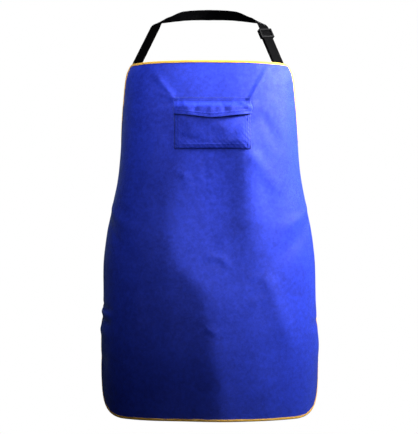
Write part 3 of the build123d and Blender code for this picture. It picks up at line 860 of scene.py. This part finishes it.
def make_pocket():
    def surface(u, v, height):
        reach = POCKET_SHIFT + u * POCKET_HALF_WIDTH
        rise = POCKET_BOTTOM + v * (POCKET_MOUTH - POCKET_BOTTOM)
        return place(reach, rise, on_pocket(reach, rise, height)), reach, rise

    def wear_and_shade(reach, rise):
        distance = pocket_edge_distance(reach, rise)
        # Paler with wear at the mouth. Painted shade: a dark line along the sewn edges, on the stitch rows
        # and in a band just below the flap's lower edge
        flap_shadow = hump(rise - flap_low(reach), 0.0025)
        painted_shade = 0.8 * near_edge(distance, 0.0009) + 0.4 * row_marks(distance, POCKET_ROWS) + 0.8 * flap_shadow
        return 0.4 * near_edge(POCKET_MOUTH - rise, 0.0014) - painted_shade

    piece = closed_sheet("pocket_cloth", surface, (165, 95), POCKET_CLOTH, BLUE, wear_and_shade)
    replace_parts(piece, "pocket_panel")
    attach(piece, "apron")


def make_pocket_stitches():
    """Rows along the three sewn sides, from the mouth's left end to its right end."""
    rows = []
    for inset in POCKET_ROWS:
        left, right = (POCKET_SHIFT + side * (POCKET_HALF_WIDTH - inset) for side in (-1, 1))
        low, high = POCKET_BOTTOM + inset, POCKET_MOUTH - ROW_END
        corners = [(left, high), (left, low), (right, low), (right, high)]
        rows += [row_frames(line, on_pocket) for line in zip(corners, corners[1:])]
    seam("pocket_stitches", rows, "apron", BLUE_THREAD)


def flap_lift(reach, rise):
    """How far the flap stands off the panel: sewn at its top, then over the pocket and tapes."""
    sewn = CLOTH / 2 + SEWN + FREE + FLAP_CLOTH / 2
    closure = POCKET_CLOTH / 2 + 2 * TAPE_CLOTH + FREE + 2 * SEWN + FLAP_CLOTH / 2
    over = pocket_lift(reach, rise) + closure + FLAP_ROOM
    return sewn + (over - sewn) * smooth((FLAP_FOLD - rise) / (FLAP_FOLD - POCKET_MOUTH + 0.003))


def flap_low(reach):
    """The flap's lower edge: two straight sides that meet in a rounded point."""
    u = (reach - POCKET_SHIFT) / FLAP_HALF_WIDTH
    return FLAP_TIP + (FLAP_SIDE - FLAP_TIP) * np.sqrt(u * u + 0.01)


def flap_edge_distance(reach, rise):
    """Distance from the flap's nearest free edge."""
    return np.minimum(FLAP_HALF_WIDTH - np.abs(reach - POCKET_SHIFT), rise - flap_low(reach))


def flap_relief(reach, rise):
    """The flap's own shape in its cloth, like the pocket's."""
    distance = flap_edge_distance(reach, rise)
    turned = 0.0005 * smooth((0.010 - distance) / 0.002)
    edge_row = row_marks(distance, [FLAP_EDGE_ROW]) * smooth((FLAP_FOLD - rise) / 0.004)
    puckers = pucker(reach - rise, 0.0002, 0.0095, 1.0, 110) * near_edge(distance, 0.01)
    dents = creases(reach, rise, FLAP_CREASES) * smooth((FLAP_FOLD + 0.004 - rise) / 0.008)
    return turned - 0.0003 * (row_marks(rise, FLAP_ROWS) + edge_row) + puckers + dents


def on_flap(reach, rise, height=FLAP_CLOTH / 2):
    """How far a height in the flap's cloth stands off the panel, its outer face if none is given."""
    return flap_lift(reach, rise) + flap_relief(reach, rise) + height


def make_flap():
    def surface(u, v, height):
        reach = POCKET_SHIFT + u * FLAP_HALF_WIDTH
        low = flap_low(reach)
        rise = low + v * (FLAP_TOP - low)
        corner = 0.0030 * hump(rise - 0.659, 0.006) * smooth((u - 0.8) / 0.2)
        return place(reach + corner, rise, on_flap(reach, rise, height)), reach, rise

    def wear_and_shade(reach, rise):
        # Paler with wear along the free edges. Painted shade: dark along the flap's top seam and on its
        # stitch rows
        painted_shade = 0.6 * near_edge(FLAP_TOP - rise, 0.0009) + 0.4 * row_marks(rise, FLAP_ROWS)
        return 0.35 * near_edge(flap_edge_distance(reach, rise), 0.0014) - painted_shade

    piece = closed_sheet("flap_cloth", surface, (165, 45), FLAP_CLOTH, BLUE, wear_and_shade)
    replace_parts(piece, "pocket_flap", "flap_seam")
    start = layer(POCKET_SHIFT, FLAP_FOLD, flap_lift(POCKET_SHIFT, FLAP_FOLD))
    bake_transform(piece)


def make_flap_stitches():
    left, right = (POCKET_SHIFT + side * (FLAP_HALF_WIDTH - ROW_END) for side in (-1, 1))
    seams = [row_frames([(left, rise), (right, rise)], on_flap) for rise in FLAP_ROWS]
    seam("flap_seam_stitches", seams, "apron", BLUE_THREAD)
    left, right = (POCKET_SHIFT + side * (FLAP_HALF_WIDTH - FLAP_EDGE_ROW) for side in (-1, 1))
    reach = np.linspace(left, right, 41)
    lower = np.stack([reach, flap_low(reach) + FLAP_EDGE_ROW], axis=-1)
    high = FLAP_FOLD - 0.009
    edges = [[(left, high), lower[0]], lower, [lower[-1], (right, high)]]
    seam("flap_edge_stitches", [row_frames(edge, on_flap) for edge in edges], "flap", BLUE_THREAD)


def make_tape(name, node, body, first, hooks):
    """One half of the closure: a woven band, first above the pocket, with its pile to the other half."""
    def surface(u, v, height):
        reach = POCKET_SHIFT + u * TAPE_HALF_WIDTH
        rise = TAPE_LOW + v * (TAPE_HIGH - TAPE_LOW)
        inside = np.minimum((1 - np.abs(u)) * TAPE_HALF_WIDTH, np.minimum(v, 1 - v) * (TAPE_HIGH - TAPE_LOW))
        pile = 0.00018 * ripples(reach, rise, 0.0016, 5 + hooks) * smooth(inside / 0.0015)
        pile = pile * (1.0 if (height > 0) == hooks else 0.2)
        lift = on_pocket(reach, rise) + first + TAPE_CLOTH / 2
        return place(reach, rise, lift + height + pile), reach, rise

    piece = closed_sheet(name, surface, (141, 29), TAPE_CLOTH * 0.8, CLOSURE)
    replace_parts(piece, node)
    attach(piece, body)


def tack(reach, rise, lift, across):
    """A bar of close stitches that lie side by side, along the cloth's width or its height."""
    bar, stitch = ((1, 0), (0, 1)) if across else ((0, 1), (1, 0))
    offsets = np.linspace(-TACK_LENGTH / 2, TACK_LENGTH / 2, TACK_STITCHES)
    reach, rise = reach + offsets * bar[0], rise + offsets * bar[1]
    height = lift(reach, rise)
    there = place(reach, rise, height)
    ahead = place(reach + stitch[0] * TACK_WIDTH, rise + stitch[1] * TACK_WIDTH, height)
    return there, unit(ahead - there), outward(reach, rise)


def make_tacks():
    tacks, ends = [], []
    for side in (-1, 1):
        reach = POCKET_SHIFT + side * (POCKET_HALF_WIDTH - TACK_INSET)
        for rise in (POCKET_BOTTOM + TACK_INSET, FLAP_SIDE - TACK_INSET - 0.0045):
            tacks.append(tack(reach, rise, on_pocket, across=False))
        reach = POCKET_SHIFT + side * (FLAP_HALF_WIDTH - FLAP_TACK_INSET)
        ends.append(tack(reach, (FLAP_TOP + FLAP_FOLD) / 2 + 0.0005, on_flap, across=True))
    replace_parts(seam("pocket_corner_tacks", tacks, "apron", BLUE_THREAD), "pocket_tacks")
    seam("flap_end_tacks", ends, "apron", BLUE_THREAD, length=0.0050)


def make_label():
    def surface(u, v, height):
        reach = LABEL_REACH + u * LABEL_HALF_WIDTH
        rise = LABEL_LOW + v * LABEL_HEIGHT
        curl = 0.0009 * smooth((0.35 - v) / 0.35) + 0.00015 * np.sin(v * 17 + u * 3)
        return place(reach, rise, -CLOTH / 2 - SEWN - LABEL_CLOTH / 2 - curl + height), reach, rise

    piece = closed_sheet("care_label", surface, (25, 37), LABEL_CLOTH, LABEL)
    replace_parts(piece, "inner_label")
    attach(piece, "apron")
    high = LABEL_LOW + LABEL_HEIGHT - 0.003
    ends = [(LABEL_REACH - LABEL_HALF_WIDTH, high), (LABEL_REACH + LABEL_HALF_WIDTH, high)]
    row = row_frames(ends, lambda reach, rise: -CLOTH / 2 - SEWN - LABEL_CLOTH, inside=True)
    seam("label_stitches", [row], "apron", BLUE_THREAD, radius=FINE_THREAD)


# --- webbing ---


def spline(places, first, last, count):
    """A smooth curve through places, with its end directions given: its points, their directions,
    their shares of its length, and the places' shares."""
    places = np.array(places, float)
    params = lengths_along(places)
    size = len(places)
    system, wanted = np.eye(size), np.zeros((size, 3))
    wanted[0], wanted[-1] = unit(np.array(first, float)), unit(np.array(last, float))
    for index in range(1, size - 1):
        before, after = np.diff(params[index - 1:index + 2])
        system[index, index - 1:index + 2] = after, 2 * (before + after), before
        wanted[index] = 3 * (after * (places[index] - places[index - 1]) / before
                             + before * (places[index + 1] - places[index]) / after)
    slopes = np.linalg.solve(system, wanted)
    at = np.linspace(0, params[-1], count)
    span = np.clip(np.searchsorted(params, at, side="right") - 1, 0, size - 2)
    length = (params[span + 1] - params[span])[:, None]
    t = (at - params[span])[:, None] / length
    low, high, rise_low, rise_high = places[span], places[span + 1], slopes[span], slopes[span + 1]
    heading = (6 * t * (t - 1) * (low - high) / length + (1 - t) * (1 - 3 * t) * rise_low
               + t * (3 * t - 2) * rise_high)
    points = hermite(t, length, low, high, rise_low, rise_high)
    return points, unit(heading), at / params[-1], params / params[-1]


def turn_frames(centre, start, travel, across, radius):
    """Frames that carry webbing half round a bar, from the start side of it, moving off along travel."""
    frames = []
    for swing in np.linspace(0, pi, 13):
        off_face = start * cos(swing) + travel * sin(swing)
        frames.append((centre + off_face * radius, off_face, across))
    return frames


def ring_facing():
    """Way that the ring faces: the cloth's own way, turned a little to the front by the strap."""
    return unit(outward(STRAP_REACH, RING_RISE) - np.array([0, RING_TURN, 0]))


def ring_axes():
    """The straight stretch over the corner ring: its foot, its direction, off its face, across it."""
    foot = layer(STRAP_REACH, RING_RISE, -EDGE_CLEAR - RING_TURN_ROOM)
    along = unit(np.array(SHOULDER_BEND) - foot)
    across = unit(np.cross(along, ring_facing()))
    return foot, along, unit(np.cross(across, along)), across


def loop_frames():
    """Frames from the right shoulder's bend round the nape to the left shoulder's bend."""
    _, start, facing, _ = ring_axes()
    places, facings = np.array(NECK_PLACES), np.array([facing, *NECK_FACINGS])
    places = np.vstack([places, places[-2::-1] * MIRROR])
    facings = np.vstack([facings, facings[-2::-1] * MIRROR])
    frames = []
    points, headings, at, shares = spline(places, start, -start * MIRROR, 120)
    for point, heading, t in zip(points, headings, at):
        facing = np.array([np.interp(t, shares, facings[:, axis]) for axis in range(3)])
        across = unit(np.cross(heading, facing))
        frames.append((point, np.cross(across, heading), across))
    return frames


def straight_frames(first, last, count):
    """Frames between two, so that a long straight stretch has points along it."""
    first, last = np.array(first), np.array(last)
    return [tuple(first + (last - first) * t) for t in np.linspace(0, 1, count + 2)[1:-1]]


def strap_section():
    """Points round the section of flat webbing, with round edges, as (across, off face)."""
    radius = PLY / 2
    flat = (WEBBING - 0.0003) / 2 - radius
    arc = [(flat + radius * cos(swing), radius * sin(swing)) for swing in np.linspace(-pi / 2, pi / 2, 5)]
    face = [(flat * share, radius) for share in (0.6, 0.2, -0.2, -0.6)]
    half = np.array(arc + face)
    return np.vstack([half, -half])


def make_webbing(name, frames, node):
    """Woven strap through frames, with a slightly wavy edge."""
    section = strap_section()
    centres, offs, acrosses = np.array(frames).transpose(1, 0, 2)
    lengths = lengths_along(centres)
    across = section[:, 0] * (1 + 0.006 * np.sin(lengths * 2 * pi / 0.023))[:, None]
    points = (centres[:, None] + unit(acrosses)[:, None] * across[..., None]
              + unit(offs)[:, None] * section[None, :, 1, None])
    uvs = np.stack([across, np.broadcast_to(lengths[:, None], across.shape)], axis=-1)
    piece = add_piece(name, points, tube_faces(len(frames), len(section)), uvs, BLACK_WEBBING)
    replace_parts(piece, node)
    return piece


def box_stitches(at, length, inside=False):
    """Stitches in a box with a cross, on the outer face of the webbing at a frame or on its inner one."""
    centre, off, across = at
    along, across = unit(np.cross(across, off)), unit(across)
    off = -off if inside else off
    x, y = length / 2, BOX_WIDTH / 2
    corners = [(-x, -y), (-x, y), (x, y), (x, -y)]
    lines = [*zip(corners, corners[1:] + corners[:1]), (corners[0], corners[2]), (corners[1], corners[3])]
    middles, alongs = [], []
    for line in lines:
        spots = [along * a + across * b for a, b in even_path(line, STITCH_PITCH)]
        for start, end in zip(spots, spots[1:]):
            middles.append(centre + off * PLY / 2 + (start + end) / 2)
            alongs.append(unit(end - start))
    return np.array(middles), np.array(alongs), np.tile(off, (len(middles), 1))


def neck_lap_frames():
    """Frames of the strap's sewn end behind the bib's left corner."""
    frames = []
    for rise in np.linspace(APRON_HEIGHT - LAP_START, APRON_HEIGHT - NECK_LAP, 9):
        reach = -STRAP_REACH - 0.3 * (APRON_HEIGHT - rise)
        down = on_body(reach + 0.0003, rise - 0.001) - on_body(reach, rise)
        facing = outward(reach, rise)
        frames.append((layer(reach, rise, -EDGE_CLEAR), facing, np.cross(down, facing)))
    return frames


def slider_place():
    """Middle of the slider's rod, at the top of the strap's straight stretch."""
    _, along, facing, _ = ring_axes()
    wrap = PLY / 2 + FREE + PLY + 2 * SEWN + SLIDER_ROD / 2
    return np.array(SHOULDER_BEND) - along * (SLIDER_LENGTH / 2 + 0.003) - facing * wrap


def make_neck_webbing():
    """The strap from the ring round the nape to the left corner, and the end that returns to the slider."""
    foot, along, facing, across = ring_axes()
    turn = turn_frames(foot - facing * RING_WRAP, -facing, -along, across, RING_WRAP)
    loop, lap = loop_frames(), neck_lap_frames()
    frames = turn + straight_frames(turn[-1], loop[0], 12) + loop
    frames += straight_frames(loop[-1], lap[0], 12) + lap
    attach(make_webbing("neck_webbing", frames, "neck_strap"), "apron")

    first = (foot - facing * (RING_WIRE + 4 * SEWN + PLY) + along * FREE, -facing, across)
    rod_wrap = SLIDER_ROD / 2 + 2 * SEWN + PLY / 2
    rod = slider_place()
    turn = turn_frames(rod, -facing, along, across, rod_wrap)
    stub = (rod + facing * rod_wrap - along * SLIDER_STUB, facing, across)
    frames = [first] + straight_frames(first, turn[0], 14) + turn
    frames += straight_frames(turn[-1], stub, 2) + [stub]
    piece = make_webbing("neck_webbing_return", frames, "neck_strap_return")
    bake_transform(piece)


def make_ring_tab():
    """Two sewn plies behind the bib's corner, with a loop at their top round the ring's lower bar."""
    foot, along, facing, across = ring_axes()
    ring_off = ring_facing()
    up = unit(along - ring_off * along.dot(ring_off))
    lower_bar = foot - facing * RING_WRAP - up * (RING_ROOM + RING_WIRE)
    aside = sqrt(1 - up[2] ** 2)

    def on_back(down, plies):
        reach, rise = STRAP_REACH + aside * down, RING_RISE - up[2] * down
        height = -EDGE_CLEAR - RING_TAB_ROOM - plies * (PLY + 2 * SEWN)
        off = outward(reach, rise) * (-1 if plies else 1)
        return layer(reach, rise, height), off, unit(np.cross(up, outward(reach, rise)))

    frames = [on_back(down, 0) for down in np.linspace(RING_TAB, RING_TAB / 2, 7)]
    frames += turn_frames(lower_bar, ring_off, up, across, RING_WRAP)
    frames.append((lower_bar - ring_off * RING_WRAP - up * 0.003, -ring_off, across))
    frames += [on_back(down, 1) for down in np.linspace(0.024, RING_TAB, 7)]
    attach(make_webbing("ring_tab_webbing", frames, "ring_tab"), "apron")
    lap = neck_lap_frames()
    rows = [box_stitches(on_back(0.035, 1), 0.016), box_stitches(lap[len(lap) // 2], 0.022, inside=True)]
    seam("bib_corner_stitches", rows, "apron", BLACK_THREAD)


def waist_frames(side):
    """Frames from the lap inside the cloth's edge to the straight stretch across the back."""
    edge = half_cloth(WAIST_STRAP_RISE)
    frames = []
    for reach in side * np.linspace(edge - WAIST_LAP, edge, LAP_FRAMES):
        low, spot, high = (layer(reach, WAIST_STRAP_RISE + step, -WAIST_CLEAR) for step in (-0.005, 0, 0.005))
        frames.append((spot, outward(reach, WAIST_STRAP_RISE), unit(high - low)))
    start, _, lean = frames[-1]
    end = BUCKLE + np.array([side * BACK_STRAIGHT, -PLY_OFFSET, 0])
    points, headings, at, _ = spline([start, end], start - frames[-2][0], (-side, 0, 0), 90)
    for point, heading, t in zip(points[1:], headings[1:], at[1:]):
        across = unit(lean * (1 - t) + UP * t)
        frames.append((point, np.cross(heading, across) * side, across))
    return frames


def buckle_frames(side, bar_place):
    """Frames of a waist strap up to the end of its turn round a buckle's bar."""
    frames = [(centre, -facing, across) for centre, facing, across in waist_frames(side)]
    bar = BUCKLE + np.array([side * bar_place, 0, 0])
    turn = turn_frames(bar, FRONT, np.array([-side, 0, 0]), UP, PLY_OFFSET)
    return frames + straight_frames(frames[-1], turn[0], 12) + turn


def second_ply(side, distances, depth):
    """Frames of the ply that comes back along a waist strap, on the side away from the wearer."""
    return [(BUCKLE + np.array([side * distance, depth, 0]), -FRONT, UP) for distance in distances]


def make_waist_webbing():
    """Both waist straps: the right one's end is sewn down past the socket, the left one's tail is free."""
    sewn_depth = PLY + 2 * SEWN - PLY_OFFSET
    right = buckle_frames(1, SOCKET_BAR) + second_ply(1, [SOCKET_BAR + 0.005], PLY_OFFSET)
    right += second_ply(1, SOCKET_BAR + np.linspace(*SEWN_END, 8), sewn_depth)
    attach(make_webbing("waist_webbing_right", right, "waist_strap_right"), "apron")
    left = buckle_frames(-1, PLUG_BAR) + second_ply(-1, [PLUG_BAR + 0.0035], PLY_OFFSET)
    left += second_ply(-1, np.linspace(PLUG_BAR + TAIL_START, TAIL_END, 18), sewn_depth)
    piece = make_webbing("waist_webbing_left", left, "waist_strap_left")
    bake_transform(piece)
    rows = [box_stitches(waist_frames(side)[LAP_FRAMES // 2], 0.026, inside=True) for side in (-1, 1)]
    rows += [box_stitches(spot, 0.018) for spot in second_ply(1, [SOCKET_BAR + SEWN_BOX], sewn_depth)]
    seam("waist_strap_stitches", rows, "apron", BLACK_THREAD)


# --- carried-over CAD nodes ---


def finish_hardware():
    """Rigid CAD parts keep their shape and get their real finish."""
    for name in ("neck_slider", "buckle_socket", "buckle_plug", "tail_keeper", "corner_ring"):
        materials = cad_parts[name].data.materials
        materials.clear()
        materials.append(STEEL if name == "corner_ring" else PLASTIC)


# --- stage, light and camera ---


def make_floor():
    """Plain pale round floor, well below the hem of the worn apron. It doesn't light the apron."""
    sides, radius, level = 96, 1.7, cad_box[0].z - 0.55
    swings = [2 * pi * side / sides for side in range(sides)]
    points = [(radius * cos(swing), radius * sin(swing), level) for swing in swings]
    mesh = bpy.data.meshes.new("floor")
    mesh.from_pydata(points, [], [tuple(range(sides))])
    floor = bpy.data.objects.new("floor", mesh)
    finish = Finish("floor_paint", Roughness=0.7, Emission_Color=(0.8, 0.8, 0.8, 1), Emission_Strength=0.8)
    paint = finish.mix(finish.noise(2.0), (0.78, 0.78, 0.78, 1), (0.84, 0.84, 0.84, 1))
    mesh.materials.append(finish.made(paint))
    floor.visible_diffuse = False
    floor.visible_glossy = False
    bpy.context.scene.collection.objects.link(floor)


def make_light(name, position, target, size, power, spread):
    data = bpy.data.lights.new(name, "AREA")
    data.shape = "DISK"
    data.size = size
    data.energy = power
    data.spread = spread
    light = bpy.data.objects.new(name, data)
    light.location = position
    light.rotation_euler = (Vector(target) - Vector(position)).to_track_quat("-Z", "Y").to_euler()
    bpy.context.scene.collection.objects.link(light)


def make_world():
    """A white backdrop for the camera, and dim light from all round."""
    world = bpy.data.worlds.new("studio")
    world.use_nodes = True
    nodes, links = world.node_tree.nodes, world.node_tree.links
    nodes.clear()
    mix = nodes.new("ShaderNodeMixShader")
    links.new(nodes.new("ShaderNodeLightPath").outputs["Is Camera Ray"], mix.inputs[0])
    for place_in_mix, colour, strength in ((1, (0.9, 0.95, 1, 1), 0.005), (2, (1, 1, 1, 1), 1.0)):
        background = nodes.new("ShaderNodeBackground")
        background.inputs[0].default_value = colour
        background.inputs[1].default_value = strength
        links.new(background.outputs[0], mix.inputs[place_in_mix])
    links.new(mix.outputs[0], nodes.new("ShaderNodeOutputWorld").inputs[0])
    bpy.context.scene.world = world


def make_camera():
    data = bpy.data.cameras.new("camera")
    data.sensor_width = 36.0
    data.lens = 108.9
    camera = bpy.data.objects.new("camera", data)
    camera.location = (-0.001, -2.9, -0.437)
    camera.rotation_euler = (radians(90 - 0.41), 0, 0)
    bpy.context.scene.collection.objects.link(camera)
    bpy.context.scene.camera = camera


make_main_cloth()
make_binding()
make_binding_stitches()
make_pocket()
make_pocket_stitches()
make_flap()
make_flap_stitches()
make_tape("hook_band", "hook_tape", "apron", SEWN, True)
make_tape("loop_band", "loop_tape", "flap", SEWN + TAPE_CLOTH + FREE, False)
make_tacks()
make_label()
make_neck_webbing()
make_ring_tab()
make_waist_webbing()
finish_hardware()
make_floor()
make_world()
make_light("key", (1.20, -0.24, 0.40), (0.22, -0.08, -0.22), 0.30, 10.5, radians(62))
make_light("front_right", (1.05, -0.42, 0.45), (0.05, -0.13, -0.32), 0.30, 1.5, radians(60))
make_light("top", (0.05, -0.62, 0.45), (-0.01, -0.1, -0.07), 0.40, 1.0, radians(75))
make_light("front", (-0.35, -2.00, 0.30), (-0.05, -0.1, -0.02), 0.50, 1.9, radians(50))
make_light("behind", (0.0, 1.8, 0.5), (0, 0, -0.4), 0.9, 14, radians(80))
make_camera()
bpy.context.scene.view_settings.view_transform = "Standard"
